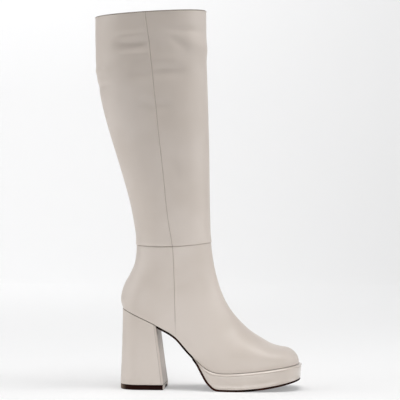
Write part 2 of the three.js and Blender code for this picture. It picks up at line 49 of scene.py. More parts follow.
# Insole
# The board and sock that the foot stands on, inside the upper from the heel seat to the toe. It is covered
# with a thin pale synthetic lining of fine grain, slightly rubbed in places.


def node(tree, kind, inputs=None, **settings):
    """One node with its settings. A socket given as an input is linked, and any other value is set."""
    made = tree.nodes.new(kind)
    for name, value in settings.items():
        setattr(made, name, value)
    for name, value in (inputs or {}).items():
        if isinstance(value, bpy.types.NodeSocket):
            tree.links.new(value, made.inputs[name])
        else:
            made.inputs[name].default_value = value
    return made


def calculate(tree, operation, *values):
    """Result of one math node."""
    return node(tree, "ShaderNodeMath", dict(enumerate(values)), operation=operation).outputs[0]


def blend_colours(tree, share, first, second):
    """Mix of two colours by a share from 0 to 1."""
    made = node(tree, "ShaderNodeMix", {0: share, 6: first, 7: second}, data_type="RGBA")
    return made.outputs[2]


def fade(tree, value, start, end, low=0.0, high=1.0):
    """Smooth change from low to high while the value goes from start to end."""
    inputs = {"Value": value, "From Min": start, "From Max": end, "To Min": low, "To Max": high}
    return node(tree, "ShaderNodeMapRange", inputs, interpolation_type="SMOOTHSTEP").outputs["Result"]


def mottle(tree, place, scale, detail):
    """Cloudy noise from 0 to 1."""
    inputs = {"Vector": place, "Scale": scale, "Detail": detail}
    return node(tree, "ShaderNodeTexNoise", inputs).outputs["Fac"]


def add_bump(tree, height, strength, distance, below=None):
    """Direction of the surface with a relief on it, over the relief below."""
    inputs = {"Height": height, "Strength": strength, "Distance": distance}
    if below is not None:
        inputs["Normal"] = below
    return node(tree, "ShaderNodeBump", inputs).outputs["Normal"]


def read_axis(tree, place, axis):
    return node(tree, "ShaderNodeSeparateXYZ", {"Vector": place}).outputs[axis]


def new_group(name, inputs, outputs):
    """Empty shader node group with named sockets, and its two end nodes."""
    tree = bpy.data.node_groups.new(name, "ShaderNodeTree")
    for socket, kind in inputs:
        tree.interface.new_socket(socket, in_out="INPUT", socket_type=kind)
    for socket, kind in outputs:
        tree.interface.new_socket(socket, in_out="OUTPUT", socket_type=kind)
    return tree, tree.nodes.new("NodeGroupInput"), tree.nodes.new("NodeGroupOutput")


def make_grain_group():
    """Fine pebbled skin of coated leather: its height, and the slight change of tone that goes with it."""
    tree, start, end = new_group(
        "leather_grain",
        [("Position", "NodeSocketVector"), ("Pebbles", "NodeSocketFloat")],
        [("Height", "NodeSocketFloat"), ("Tone", "NodeSocketFloat")],
    )
    position = start.outputs["Position"]
    pebbles = start.outputs["Pebbles"]
    cells = node(tree, "ShaderNodeTexVoronoi", {"Vector": position, "Scale": pebbles}, feature="SMOOTH_F1")
    uneven = mottle(tree, position, calculate(tree, "MULTIPLY", pebbles, 0.4), 3.0)
    cell_height = calculate(tree, "MULTIPLY", cells.outputs["Distance"], -0.7)
    height = calculate(tree, "ADD", cell_height, uneven)
    tree.links.new(height, end.inputs["Height"])
    tree.links.new(uneven, end.inputs["Tone"])
    return tree


def make_handling_group():
    """Marks of handling: broad uneven patches, rubbed spots, and dust that gathers towards the floor."""
    tree, start, end = new_group(
        "handling_marks",
        [("Position", "NodeSocketVector"), ("Dust Height", "NodeSocketFloat")],
        [("Patches", "NodeSocketFloat"), ("Dust", "NodeSocketFloat"), ("Rubbed", "NodeSocketFloat")],
    )
    position = start.outputs["Position"]
    fine = mottle(tree, position, 130.0, 4.0)
    near_floor = fade(tree, read_axis(tree, position, "Z"), start.outputs["Dust Height"], 0.0)
    speckled = fade(tree, fine, 0.42, 0.68)
    tree.links.new(mottle(tree, position, 14.0, 2.0), end.inputs["Patches"])
    tree.links.new(calculate(tree, "MULTIPLY", near_floor, speckled), end.inputs["Dust"])
    tree.links.new(fade(tree, fine, 0.5, 0.75), end.inputs["Rubbed"])
    return tree


grain_group = make_grain_group()
handling_group = make_handling_group()


def add_skin(tree, place, pebbles, dust_height):
    """Outputs of both groups, set for one material."""
    grain = {"Position": place, "Pebbles": pebbles}
    marks = {"Position": place, "Dust Height": dust_height}
    grain = node(tree, "ShaderNodeGroup", grain, node_tree=grain_group)
    marks = node(tree, "ShaderNodeGroup", marks, node_tree=handling_group)
    return grain.outputs, marks.outputs


def dress(tree, shader, colour, roughness, normal):
    """Links a material's colour, roughness and relief to its shader."""
    for name, value in (("Base Color", colour), ("Roughness", roughness), ("Normal", normal)):
        tree.links.new(value, shader.inputs[name])


def new_material(name):
    """Empty material with its shader, and the place on the piece that its patterns read."""
    material = bpy.data.materials.new(name)
    material.use_nodes = True
    tree = material.node_tree
    shader = tree.nodes["Principled BSDF"]
    place = tree.nodes.new("ShaderNodeTexCoord").outputs["Object"]
    return material, tree, shader, place


def make_lining():
    """Pale synthetic lining with a fine matt grain, slightly darker where it is rubbed."""
    material, tree, shader, place = new_material("pale_lining")
    grain, marks = add_skin(tree, place, 900.0, 120 * mm)
    tone = blend_colours(tree, marks["Patches"], (0.46, 0.39, 0.31, 1), (0.55, 0.47, 0.38, 1))
    rubbed = blend_colours(tree, marks["Rubbed"], tone, (0.41, 0.34, 0.27, 1))
    roughness = fade(tree, grain["Tone"], 0.3, 0.7, 0.7, 0.85)
    dress(tree, shader, rubbed, roughness, add_bump(tree, grain["Height"], 0.3, 0.1 * mm))
    return material


lining = make_lining()
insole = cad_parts["insole"]
insole.data.materials.clear()
insole.data.materials.append(lining)


# Upper
# The foot part, cut from one skin and pulled over the last: from the ankle seam to the blunt toe, with its
# lower edge ending on the sole. Its side seam goes on down from the shaft's and fades at the waist.

last_length = 227 * mm
ball_width = 90 * mm
heel_height = 103 * mm
seat_setback = 3.2 * mm
outsole_thickness = 2.2 * mm
platform_thickness = 19.8 * mm
platform_thinning = 2 * mm
toe_spring = 12.2 * mm
nose_length = 19 * mm
toe_rounding = 60 * mm
heel_rounding = 27 * mm
toe_swing = 4 * mm
upper_wall = 1.8 * mm
ankle_rise = 79 * mm
ankle_pitch = 3.2 * mm
ankle_dip = 2.4 * mm
dip_reach = 40 * mm
ankle_depth = 95 * mm
ankle_width = 74 * mm
shaft_height = 289.5 * mm
collar_pitch = 7.6 * mm
collar_depth = 141 * mm
collar_width = 96 * mm
shin_setback = 6.5 * mm
heel_flare = 2.8 * mm
fit_gap = 0.3 * mm
sole_gap = 0.5 * mm
ball_top = outsole_thickness + platform_thickness + fit_gap + sole_gap
toe_rise = toe_spring - platform_thinning
ankle_back_up = heel_height + ankle_rise
ankle_front_up = ankle_back_up + ankle_pitch

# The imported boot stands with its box's middle over the origin. These sizes start at the back of the heel.
back_of_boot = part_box("heel")[0].x - (seat_setback - heel_flare)


def through_rows(places, values):
    """Smooth curve through given rows, each row's slope taken from its two neighbours."""
    places = np.asarray(places, float)
    values = np.asarray(values, float)
    gaps = np.diff(places)
    steps = np.diff(values) / gaps
    between = (steps[:-1] * gaps[1:] + steps[1:] * gaps[:-1]) / (gaps[:-1] + gaps[1:])
    slopes = np.concatenate([steps[:1], between, steps[-1:]])

    def curve(at):
        at = np.asarray(at, float)
        k = np.clip(np.searchsorted(places, at) - 1, 0, len(places) - 2)
        s = (at - places[k]) / gaps[k]
        inside = values[k] * (1 + 2 * s) * (1 - s) ** 2 + slopes[k] * gaps[k] * s * (1 - s) ** 2
        inside = inside + values[k + 1] * s * s * (3 - 2 * s) + slopes[k + 1] * gaps[k] * s * s * (s - 1)
        below = values[0] + slopes[0] * (at - places[0])
        above = values[-1] + slopes[-1] * (at - places[-1])
        return np.where(at <= places[0], below, np.where(at >= places[-1], above, inside))

    return curve


def ease_in(share):
    s = np.clip(share, 0, 1)
    return s * s * (3 - 2 * s)


def rounding(from_tip, stretch, power):
    """Superellipse that goes from 0 at its tip to 1 at the end of the rounding."""
    s = np.clip(from_tip / stretch, 0, 1)
    return (1 - (1 - s) ** power) ** (1 / power)


# Underside of the last from the side: share of its length, and share of the drop from heel seat to ball.
underside_rows = np.array([
    (0.014, 1.000), (0.114, 0.869), (0.194, 0.760), (0.260, 0.659), (0.297, 0.600), (0.335, 0.514),
    (0.367, 0.410), (0.393, 0.328), (0.423, 0.242), (0.468, 0.121), (0.522, 0.030), (0.565, 0.005),
    (0.610, 0.000),
])
underside_rise = through_rows(underside_rows[:, 0], underside_rows[:, 1])
spring_start = 0.61
spring_power = 1.5


def underside(x):
    along = x / last_length
    rise = np.where(along < spring_start, underside_rise(along), 0)
    spring = np.maximum(0, (along - spring_start) / (1 - spring_start)) ** spring_power
    return ball_top + (heel_height - ball_top) * rise + toe_rise * spring


# Edge of the upper from above: share of the length, and half widths on the little-toe and the big-toe side.
plan_rows = np.array([
    (0.00, 0.326, 0.320), (0.16, 0.326, 0.318), (0.26, 0.320, 0.300), (0.35, 0.328, 0.294),
    (0.44, 0.368, 0.325), (0.53, 0.432, 0.407), (0.62, 0.474, 0.472), (0.71, 0.480, 0.492),
    (0.83, 0.478, 0.484), (1.00, 0.478, 0.472),
])
plan_half = {
    "outer": through_rows(plan_rows[:, 0], plan_rows[:, 1]),
    "inner": through_rows(plan_rows[:, 0], plan_rows[:, 2]),
}
toe_power = 3
nose_power = 1.9
swell_power = 2.2
heel_power = 2.3


def middle(x):
    return toe_swing * ease_in((x / last_length - 0.6) / 0.4)


# Sections of the foot from the toe back: where they meet the sole and the ridge line, how high the ridge is,
# greatest half widths, how far up those lie, how square the roof is, and the ridge's lean inwards.
foot_columns = ("sole", "ridge", "up", "outer", "inner", "widest", "roof", "lean")
foot_rows = np.array([
    (1.0000, 1.0000, 0.1840, 0.492, 0.486, 0.30, 2.50, 0.000),
    (0.9140, 0.9180, 0.1850, 0.492, 0.486, 0.30, 2.45, 0.010),
    (0.8380, 0.8520, 0.2060, 0.494, 0.496, 0.30, 2.35, 0.020),
    (0.7590, 0.7860, 0.2580, 0.494, 0.504, 0.29, 2.20, 0.030),
    (0.6800, 0.7260, 0.3140, 0.494, 0.502, 0.28, 2.05, 0.040),
    (0.6045, 0.6775, 0.3775, 0.486, 0.478, 0.27, 1.95, 0.045),
    (0.5295, 0.6400, 0.4355, 0.458, 0.436, 0.27, 1.88, 0.045),
    (0.4680, 0.6135, 0.4865, 0.430, 0.398, 0.28, 1.84, 0.040),
    (0.4228, 0.5935, 0.5330, 0.406, 0.374, 0.30, 1.82, 0.035),
    (0.3663, 0.5780, 0.5780, 0.386, 0.358, 0.32, 1.82, 0.030),
    (0.3090, 0.5650, 0.6240, 0.374, 0.352, 0.33, 1.83, 0.025),
    (0.2295, 0.5540, 0.6690, 0.368, 0.352, 0.34, 1.85, 0.020),
    (0.1500, 0.5450, 0.7155, 0.366, 0.356, 0.35, 1.87, 0.015),
    (0.0795, 0.5375, 0.7520, 0.366, 0.360, 0.36, 1.89, 0.010),
])
foot = dict(zip(foot_columns, foot_rows.T))

# Sections of the ankle, up to its seam. back, back_up: rear end, from the back edge of the heel seat.
ankle_columns = ("back", "back_up", "ridge", "up", "outer", "inner", "widest", "roof", "lean")
ankle_rows = np.array([
    (0.0000, 0.000, 0.5320, 0.7860, 0.367, 0.362, 0.38, 1.91, 0.005),
    (-0.0091, 0.098, 0.5280, 0.8140, 0.368, 0.365, 0.40, 1.92, 0.000),
    (-0.0050, 0.244, 0.5240, 0.8445, 0.370, 0.368, 0.42, 1.94, 0.000),
    (0.0125, 0.390, 0.5200, 0.8780, 0.374, 0.373, 0.44, 1.96, 0.000),
    (0.0410, 0.536, 0.5165, 0.9120, 0.380, 0.380, 0.46, 1.98, 0.000),
    (0.0655, 0.695, 0.5135, 0.9460, 0.388, 0.388, 0.48, 2.00, 0.000),
    (0.0750, 0.854, 0.5115, 0.9735, 0.399, 0.399, 0.49, 2.00, 0.000),
])
ankle = dict(zip(ankle_columns, ankle_rows.T))

# Sections of the shaft, up to the collar: shares of its height and of the change from ankle to collar.
ankle_front = 0.51
shaft_columns = ("height", "back", "front", "width", "roof")
shaft_rows = np.array([
    (0.0, 0.000, 0.00, 0.00, 2.02), (0.1, 0.067, 0.17, 0.10, 2.04), (0.2, 0.175, 0.26, 0.28, 2.06),
    (0.3, 0.330, 0.32, 0.46, 2.08), (0.4, 0.499, 0.39, 0.63, 2.10), (0.5, 0.666, 0.50, 0.77, 2.10),
    (0.6, 0.818, 0.62, 0.88, 2.10), (0.7, 0.927, 0.75, 0.95, 2.10), (0.8, 0.990, 0.88, 0.99, 2.12),
    (0.9, 1.000, 0.95, 1.00, 2.14), (1.0, 1.000, 1.00, 1.00, 2.16),
])
shaft = dict(zip(shaft_columns, shaft_rows.T))

front_at_ankle = ankle_front * last_length
back_at_ankle = front_at_ankle - ankle_depth
back_at_collar = front_at_ankle - shin_setback - collar_depth
shaft_half = (ankle_width + shaft["width"] * (collar_width - ankle_width)) / 2
shaft_back_z = ankle_back_up + shaft["height"] * shaft_height
shaft_pitch = ankle_pitch + shaft["height"] * (collar_pitch - ankle_pitch)
climb_to_seam = ankle_front_up - ball_top

section_rows = {
    "back_x": [foot["sole"] * last_length, seat_setback + ankle["back"] * last_length,
               back_at_ankle + shaft["back"] * (back_at_collar - back_at_ankle)],
    "back_z": [underside(foot["sole"] * last_length), heel_height + ankle["back_up"] * ankle_rise,
               shaft_back_z],
    "front_x": [foot["ridge"] * last_length, ankle["ridge"] * last_length,
                front_at_ankle - shaft["front"] * shin_setback],
    "front_z": [ball_top + foot["up"] * climb_to_seam, ball_top + ankle["up"] * climb_to_seam,
                shaft_back_z + shaft_pitch],
    "outer": [foot["outer"] * ball_width, ankle["outer"] * ball_width, shaft_half],
    "inner": [foot["inner"] * ball_width, ankle["inner"] * ball_width, shaft_half],
    "widest": [foot["widest"], ankle["widest"], np.full(len(shaft_half), 0.5)],
    "roof": [foot["roof"], ankle["roof"], shaft["roof"]],
    "lean": [foot["lean"] * ball_width, ankle["lean"] * ball_width, np.zeros(len(shaft_half))],
}
section_rows = {name: np.concatenate(parts) for name, parts in section_rows.items()}
back_step = np.hypot(np.diff(section_rows["back_x"]), np.diff(section_rows["back_z"]))
front_step = np.hypot(np.diff(section_rows["front_x"]), np.diff(section_rows["front_z"]))
places = np.concatenate([[0], np.cumsum((back_step + front_step) / 2)])
section_curves = {name: through_rows(places, values) for name, values in section_rows.items()}
heel_seat_place = places[len(foot_rows)]
ankle_seam_place = places[len(foot_rows) + len(ankle_rows)]
collar_place = places[-1]

# Line of the back from the side, and how it is rounded across, by height.
back_from = len(foot_rows)
back_line = through_rows(section_rows["back_z"][back_from:], section_rows["back_x"][back_from:])
bend_heights = heel_height + np.array([0, 0.25, 0.5, 0.75, 1]) * ankle_rise
shaft_bends = ankle_back_up + np.array([0.25, 0.5, 0.75, 1]) * shaft_height
ankle_bend = np.array([0.284, 0.34, 0.4, 0.46, 0.5]) * ankle_depth
shaft_bend = (front_at_ankle - back_line(shaft_bends)) / 2
bends = np.concatenate([ankle_bend, shaft_bend])
back_bend = through_rows(np.concatenate([bend_heights, shaft_bends]), bends)
back_square = through_rows(bend_heights, [2.3, 2.26, 2.2, 2.16, 2.12])


def back_rounding(x, z):
    height = np.maximum(heel_height, z)
    square = back_square(np.minimum(height, ankle_back_up))
    return rounding(x - back_line(height), back_bend(height), square)


# The seam up the boot's side, from the waist to the collar: places from the photo, in millimetres. The mesh
# gets closer columns along it, at these distances.
side_seam_rows = np.array([
    (73.6, 71.0), (72.8, 95.0), (72.1, 120.3), (71.1, 158.0), (69.9, 182.6), (65.6, 208.2), (59.1, 270.8),
    (52.6, 333.2), (46.6, 392.9), (41.7, 439.0), (36.7, 473.9),
]) * mm
side_seam = through_rows(side_seam_rows[:, 1], side_seam_rows[:, 0])
seam_steps = np.array([0.3, 0.6, 1.0, 1.5, 2.2, 3.1, 4.2]) * mm
seam_columns = np.concatenate([-seam_steps[::-1], [0], seam_steps])
seam_low = 40 * mm
seam_high = 75 * mm


def seam_shares(back_x, back_z, front_x, front_z):
    """Shares of each section at which it crosses the side seam, and beside it."""
    share = np.full_like(back_x, 0.5)
    for _ in range(6):
        height = back_z + share * (front_z - back_z)
        share = 0.5 * share + 0.5 * (side_seam(height) - back_x) / (front_x - back_x)
        share = np.clip(share, 0.2, 0.8)
    present = ease_in((back_z + share * (front_z - back_z) - seam_low) / (seam_high - seam_low))
    share = 0.5 + present * (share - 0.5)
    widest_column = seam_columns[-1]
    reach = widest_column / np.maximum(np.hypot(front_x - back_x, front_z - back_z), 0.1 * mm)
    return share + seam_columns / widest_column * np.minimum(reach, 0.25)


def section_points(place, low_steps, high_steps):
    """Points of the surface: a row for each place, from the outer edge over the ridge to the inner one."""
    place = np.asarray(place, float)[:, None]
    s = {name: curve(place) for name, curve in section_curves.items()}
    in_foot = place < heel_seat_place
    back_x = np.where(in_foot, s["back_x"], back_line(s["back_z"]))
    back_z = np.where(in_foot, underside(s["back_x"]), s["back_z"])
    from_tip = last_length - back_x
    toe = np.where(in_foot, rounding(from_tip, toe_rounding, toe_power), 1)
    nose = np.where(in_foot, rounding(from_tip, nose_length, nose_power), 1)
    front_z = back_z + nose * (s["front_z"] - back_z)
    centre = np.where(in_foot, middle(back_x), 0)
    dip = ankle_dip * ease_in(1 - np.abs(place - ankle_seam_place) / dip_reach)
    climb = ease_in((place - heel_seat_place) / (ankle_seam_place - heel_seat_place))
    widest = s["widest"]
    low = widest * (1 - np.cos(np.pi / 2 * np.arange(low_steps) / low_steps))
    turn = np.sin(np.pi / 2 * np.arange(high_steps + 1) / high_steps)
    high = widest + (1 - widest) * turn ** (2 / s["roof"])
    beside_seam = seam_shares(back_x, back_z, s["front_x"], front_z)
    share = np.sort(np.hstack([low, high, beside_seam]), axis=1)
    x = back_x + share * (s["front_x"] - back_x)
    z = back_z + share * (front_z - back_z)
    swell = 1 - (1 - np.minimum(1, share / widest)) ** swell_power
    over = np.maximum(0, (share - widest) / (1 - widest))
    close = np.maximum(0, 1 - over ** s["roof"]) ** (1 / s["roof"])
    shape = back_rounding(x, z) * toe * close
    sides = []
    for side, sign in (("outer", -1), ("inner", 1)):
        plan = plan_half[side](np.maximum(0, back_x) / last_length) * ball_width
        edge = plan + climb * (s[side] - plan)
        half = shape * (edge + swell * (s[side] - edge))
        y = centre + sign * half + s["lean"] * toe * ease_in(share)
        sides.append(np.stack([x, y, z - dip * (half / s["outer"]) ** 2], axis=-1))
    return np.concatenate([sides[0], sides[1][:, -2::-1]], axis=1)


def grid_faces(rows, columns, wrap_rows=False, wrap_columns=False):
    """Four-sided faces between the points of a grid, which may close on itself either way."""
    i = np.arange(rows if wrap_rows else rows - 1)[:, None]
    j = np.arange(columns if wrap_columns else columns - 1)[None, :]
    next_i = (i + 1) % rows
    next_j = (j + 1) % columns
    corners = [i * columns + j, i * columns + next_j, next_i * columns + next_j, next_i * columns + j]
    return np.stack(corners, axis=-1).reshape(-1, 4)


def add_object(name, data):
    made = bpy.data.objects.new(name, data)
    bpy.context.scene.collection.objects.link(made)
    return made


def make_piece(name, points, faces, materials, slots=None, sharp_angle=50, merge=0.01 * mm, lines_and_shade=None):
    """Smooth mesh object from points in the boot's own sizes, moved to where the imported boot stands."""
    placed = np.asarray(points, float).reshape(-1, 3) + (back_of_boot, 0, 0)
    mesh = bpy.data.meshes.new(name)
    mesh.from_pydata(placed.tolist(), [], [list(map(int, face)) for face in faces])
    for material in materials:
        mesh.materials.append(material)
    if slots is not None:
        mesh.polygons.foreach_set("material_index", np.asarray(slots, np.int32))
    if lines_and_shade is not None:
        store(mesh, "line_and_shade_shows", lines_and_shade)
    work = bmesh.new()
    work.from_mesh(mesh)
    bmesh.ops.remove_doubles(work, verts=work.verts, dist=merge)
    bmesh.ops.dissolve_degenerate(work, edges=work.edges, dist=merge / 10)
    work.to_mesh(mesh)
    work.free()
    mesh.shade_smooth()
    mesh.set_sharp_from_angle(angle=math.radians(sharp_angle))
    return add_object(name, mesh)


def vertex_places(mesh):
    """Vertices of a finished piece, back in the boot's own sizes."""
    flat = np.zeros(len(mesh.vertices) * 3)
    mesh.vertices.foreach_get("co", flat)
    return flat.reshape(-1, 3) - (back_of_boot, 0, 0)


def store(mesh, name, values):
    """One number for each vertex, for the piece's material to read."""
    attribute = mesh.attributes.new(name, "FLOAT", "POINT")
    attribute.data.foreach_set("value", np.asarray(values, np.float32))


seam_fades_from = 96 * mm
seam_fades_to = 62 * mm


def from_side_seam(points):
    """Distance in front of the side seam, square to it, and how plainly the seam shows there."""
    x, z = points[..., 0], points[..., 2]
    step = 2 * mm
    slope = (side_seam(z + step) - side_seam(z - step)) / (2 * step)
    ahead = (x - side_seam(z)) / np.hypot(1, slope)
    shows = ease_in((z - seam_fades_to) / (seam_fades_from - seam_fades_to))
    return ahead, shows


def store_seam(piece):
    """The side seam's place and strength on a finished piece, for its material."""
    ahead, shows = from_side_seam(vertex_places(piece.data))
    store(piece.data, "ahead_of_seam", ahead)
    store(piece.data, "seam_shows", shows)


seam_welt = 0.26 * mm
seam_sink = 0.34 * mm


def seam_relief(points):
    """The seam's edges meet in a sunk line, and the edge that lies on top stands up: the rear one on the leg
    and the front one on the foot."""
    ahead, shows = from_side_seam(points)
    on_top = np.where(points[..., 2] > ankle_back_up, -1, 1)
    welt = np.exp(-((on_top * ahead - 1.7 * mm) / (1.1 * mm)) ** 2)
    soft = np.exp(-((ahead / (4 * mm)) ** 2))
    sunk = np.exp(-((ahead / (0.55 * mm)) ** 2))
    return shows * (seam_welt * welt + 0.3 * seam_welt * soft - seam_sink * sunk)


def outward(grid, closed):
    """Direction square to a grid of surface points, outwards."""
    along = np.gradient(grid, axis=0)
    around = np.gradient(grid, axis=1)
    core = grid[:, :-1]
    turning = np.roll(core, -1, axis=1) - np.roll(core, 1, axis=1)
    around[closed, :-1] = turning[closed]
    around[closed, -1] = turning[closed, 0]
    square = np.cross(around, along)
    length = np.linalg.norm(square, axis=-1, keepdims=True)
    return square / np.maximum(length, 1e-12)


groove_reach = 0.44 * mm
seam_shade = (0.15, 0.095, 0.07, 1)
# Colour of the heel's dark joints, and of the painted shade in its creases, beside the joints and along its
# top.
line_shade = (0.17, 0.12, 0.095, 1)


def read_number(tree, name):
    """A number stored on the piece's vertices."""
    return node(tree, "ShaderNodeAttribute", attribute_name=name).outputs["Fac"]


def make_cream(name, tone, gloss, seams=False, coat=0.1, uneven=0.35, shine=0.45, lines_and_shade=False):
    """Smooth coated leather in cream: soft tonal patches, a faint fine grain, dust near the floor."""
    material, tree, shader, place = new_material(name)
    grain, marks = add_skin(tree, place, 1100.0, 35 * mm)
    light = (tone[0], tone[1], tone[2], 1)
    deep = (tone[0] * 0.93, tone[1] * 0.92, tone[2] * 0.905, 1)
    soiled = (tone[0] * 0.74, tone[1] * 0.7, tone[2] * 0.65, 1)
    colour = blend_colours(tree, fade(tree, marks["Patches"], 0.35, 0.7), light, deep)
    colour = blend_colours(tree, calculate(tree, "MULTIPLY", marks["Dust"], 0.12), colour, soiled)
    normal = add_bump(tree, grain["Height"], 0.14, 0.12 * mm)
    normal = add_bump(tree, mottle(tree, place, 42.0, 2.0), uneven, 0.9 * mm, normal)
    if seams:
        ahead = read_number(tree, "ahead_of_seam")
        near = fade(tree, calculate(tree, "ABSOLUTE", ahead), groove_reach, 0.0)
        groove = calculate(tree, "MULTIPLY", near, read_number(tree, "seam_shows"))
        normal = add_bump(tree, calculate(tree, "MULTIPLY", groove, -1.0), 0.5, 0.3 * mm, normal)
        colour = blend_colours(tree, calculate(tree, "MULTIPLY", groove, 0.68), colour, seam_shade)
    # Dark joints and painted shade, as strongly as the piece stores them.
    if lines_and_shade:
        drawn = calculate(tree, "MULTIPLY", read_number(tree, "line_and_shade_shows"), 0.6)
        colour = blend_colours(tree, drawn, colour, line_shade)
    dress(tree, shader, colour, fade(tree, grain["Tone"], 0.3, 0.7, gloss - 0.05, gloss + 0.05), normal)
    shader.inputs["Specular IOR Level"].default_value = shine
    shader.inputs["Coat Weight"].default_value = coat
    shader.inputs["Coat Roughness"].default_value = 0.38 - 0.3 * coat
    return material


cream_tone = (0.675, 0.605, 0.55)
low_steps = 26
high_steps = 42
row_spacing = 1.9 * mm


def make_upper():
    foot_length = section_rows["back_x"][0] - section_rows["back_x"][1]
    from_tip = nose_length * (1 - np.cos(np.pi / 2 * np.arange(14) / 14))
    nose = places[1] * from_tip / foot_length
    seat_start = places[len(foot_rows) - 1]
    nose_end = places[1] * nose_length / foot_length
    sole = np.arange(nose_end, seat_start, row_spacing)
    seat = seat_start + np.sin(np.pi / 2 * np.arange(20) / 20) * (heel_seat_place - seat_start)
    rise = np.linspace(heel_seat_place, ankle_seam_place, 46)
    stops = np.concatenate([nose, sole, seat, rise])
    grid = section_points(stops, low_steps, high_steps)
    away = outward(grid, stops >= heel_seat_place)
    grid = grid + away * seam_relief(grid)[..., None]
    faces = grid_faces(*grid.shape[:2])
    materials = [make_cream("cream_upper", cream_tone, 0.47, seams=True), lining]
    piece = make_piece("foot_upper", grid, faces, materials)
    store_seam(piece)
    wall = piece.modifiers.new("wall", "SOLIDIFY")
    wall.thickness = upper_wall
    wall.offset = -1
    wall.material_offset = 1
    return piece


upper = make_upper()
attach(upper, "root")
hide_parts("upper")


# Shaft
# The leg part, one tall tube of the same skin on a thin lining, stitched to the upper along the ankle seam
# with its lower edge folded. It stands by its own stiffness, with soft folds that lie mostly near the
# collar.

shaft_wall = 1.8 * mm
hem_step = 0.7 * mm
hem_fade = 14 * mm
paint_width = 0.6 * mm

# Soft folds, in millimetres: both ends from the side, half width and height outwards. Last comes the side of
# the leg, -1 for the outer one.
fold_rows = [
    ((-4, 443), (36, 446), 5.5, 1.6, -1),
    ((4, 433), (41, 435), 7.5, -2.8, -1),
    ((0, 421), (38, 423), 5.0, 1.0, -1),
    ((24, 411), (42, 412), 4.5, -0.7, -1),
    ((20, 396), (44, 394), 8.0, -2.0, -1),
    ((48, 414), (82, 415), 6.0, 0.9, -1),
    ((48, 400), (84, 401), 8.0, -2.7, -1),
    ((66, 453), (102, 452), 4.5, -1.5, -1),
    ((88, 440), (112, 428), 10.0, 2.6, -1),
    ((68, 443), (86, 430), 5.0, -1.1, -1),
    ((32, 364), (50, 348), 11.0, -3.2, -1),
    ((54, 362), (64, 352), 7.0, -1.5, -1),
    ((68, 292), (78, 262), 8.0, -1.2, -1),
    ((-38, 402), (-12, 404), 4.5, 1.3, -1),
    ((-38, 381), (-10, 385), 5.5, -1.3, -1),
    ((-30, 430), (20, 437), 6.5, -1.9, 1),
    ((50, 440), (108, 427), 7.0, 1.7, 1),
    ((-36, 390), (10, 399), 6.0, 1.5, 1),
    ((30, 330), (90, 350), 10.0, -1.5, 1),
]


def fold_relief(points):
    """How far the soft folds move each point of the shaft outwards."""
    x, y, z = points[..., 0], points[..., 1], points[..., 2]
    moved = np.zeros(x.shape)
    for start, end, half_width, height, side in fold_rows:
        start = np.array(start) * mm
        run = np.array(end) * mm - start
        length = np.hypot(*run)
        along = ((x - start[0]) * run[0] + (z - start[1]) * run[1]) / length**2
        across = ((x - start[0]) * run[1] - (z - start[1]) * run[0]) / length
        ends = ease_in((along + 0.35) / 0.7) * ease_in((1.35 - along) / 0.7)
        profile = np.exp(-((across / (half_width * mm)) ** 2))
        on_side = ease_in(0.5 + side * y / (30 * mm))
        moved += height * mm * ends * profile * on_side
    return moved


def waver(points, reach, height):
    """Slight unevenness that a hand-stretched skin keeps."""
    flat = points.reshape(-1, 3) / reach
    values = np.array([noise.noise(Vector(point)) for point in flat])
    return height * values.reshape(points.shape[:-1])


def shaft_lift(place):
    return hem_step * ease_in(1 - (place - ankle_seam_place - fit_gap) / hem_fade)


def shaft_profile():
    """Stops up the outside, over the collar's rim, down the inside and round the folded hem."""
    radius = shaft_wall / 2
    start = ankle_seam_place + fit_gap
    painted = collar_place - radius - paint_width
    outer = np.linspace(start + radius, painted, 150)
    edge = np.linspace(painted, collar_place - radius, 4)[1:]
    inner = np.linspace(collar_place - radius, start + radius, 60)
    turn = np.pi * np.arange(1, 8) / 8
    rim = collar_place - radius + radius * np.sin(turn)
    hem = start + radius - radius * np.sin(turn)
    around = radius * (1 - np.cos(turn))
    place = np.concatenate([outer, edge, rim, inner, hem])
    outside = np.zeros(len(outer) + len(edge))
    depth = np.concatenate([outside, around, np.full(len(inner), shaft_wall), shaft_wall - around])
    part = np.zeros(len(place), int)
    part[len(outer) - 1:len(outside) + len(rim)] = 1
    part[len(outside) + len(rim):-len(hem)] = 2
    return place, depth, part


def make_collar_edge():
    """The cut edge of the collar, painted in a warm grey that has worn thin in places."""
    material, tree, shader, place = new_material("painted_collar_edge")
    worn = mottle(tree, place, 260.0, 3.0)
    thin = fade(tree, worn, 0.45, 0.7)
    paint = blend_colours(tree, thin, (0.175, 0.148, 0.125, 1), (0.28, 0.245, 0.21, 1))
    roughness = fade(tree, worn, 0.3, 0.7, 0.45, 0.7)
    dress(tree, shader, paint, roughness, add_bump(tree, worn, 0.3, 0.2 * mm))
    return material


def shaft_rings(place):
    """Closed rings of the shaft's surface at these places, and the direction outwards at each point."""
    core = section_points(place, low_steps, high_steps)[:, :-1]
    above = section_points(place + 0.4 * mm, low_steps, high_steps)[:, :-1]
    turning = np.roll(core, -1, axis=1) - np.roll(core, 1, axis=1)
    away = np.cross(turning, above - core)
    return core, away / np.linalg.norm(away, axis=-1, keepdims=True)


def shaft_softness(core):
    """Folds and slight unevenness of the skin together."""
    return fold_relief(core) + waver(core, 55 * mm, 0.35 * mm)


def make_shaft():
    place, depth, part = shaft_profile()
    core, away = shaft_rings(place)
    moved = (shaft_lift(place) - depth)[:, None] + seam_relief(core) + shaft_softness(core)
    points = core + away * moved[..., None]
    rows, columns = points.shape[:2]
    faces = grid_faces(rows, columns, wrap_rows=True, wrap_columns=True)
    slots = np.repeat(part, columns)
    materials = [make_cream("cream_shaft", cream_tone, 0.47, seams=True), make_collar_edge(), lining]
    piece = make_piece("leg_shaft", points, faces, materials, slots)
    store_seam(piece)
    return piece


leg = make_shaft()
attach(leg, "root")
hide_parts("shaft")


# Collar stitching
# One row of lockstitch in matching thread that holds skin and lining together just below the collar's edge.

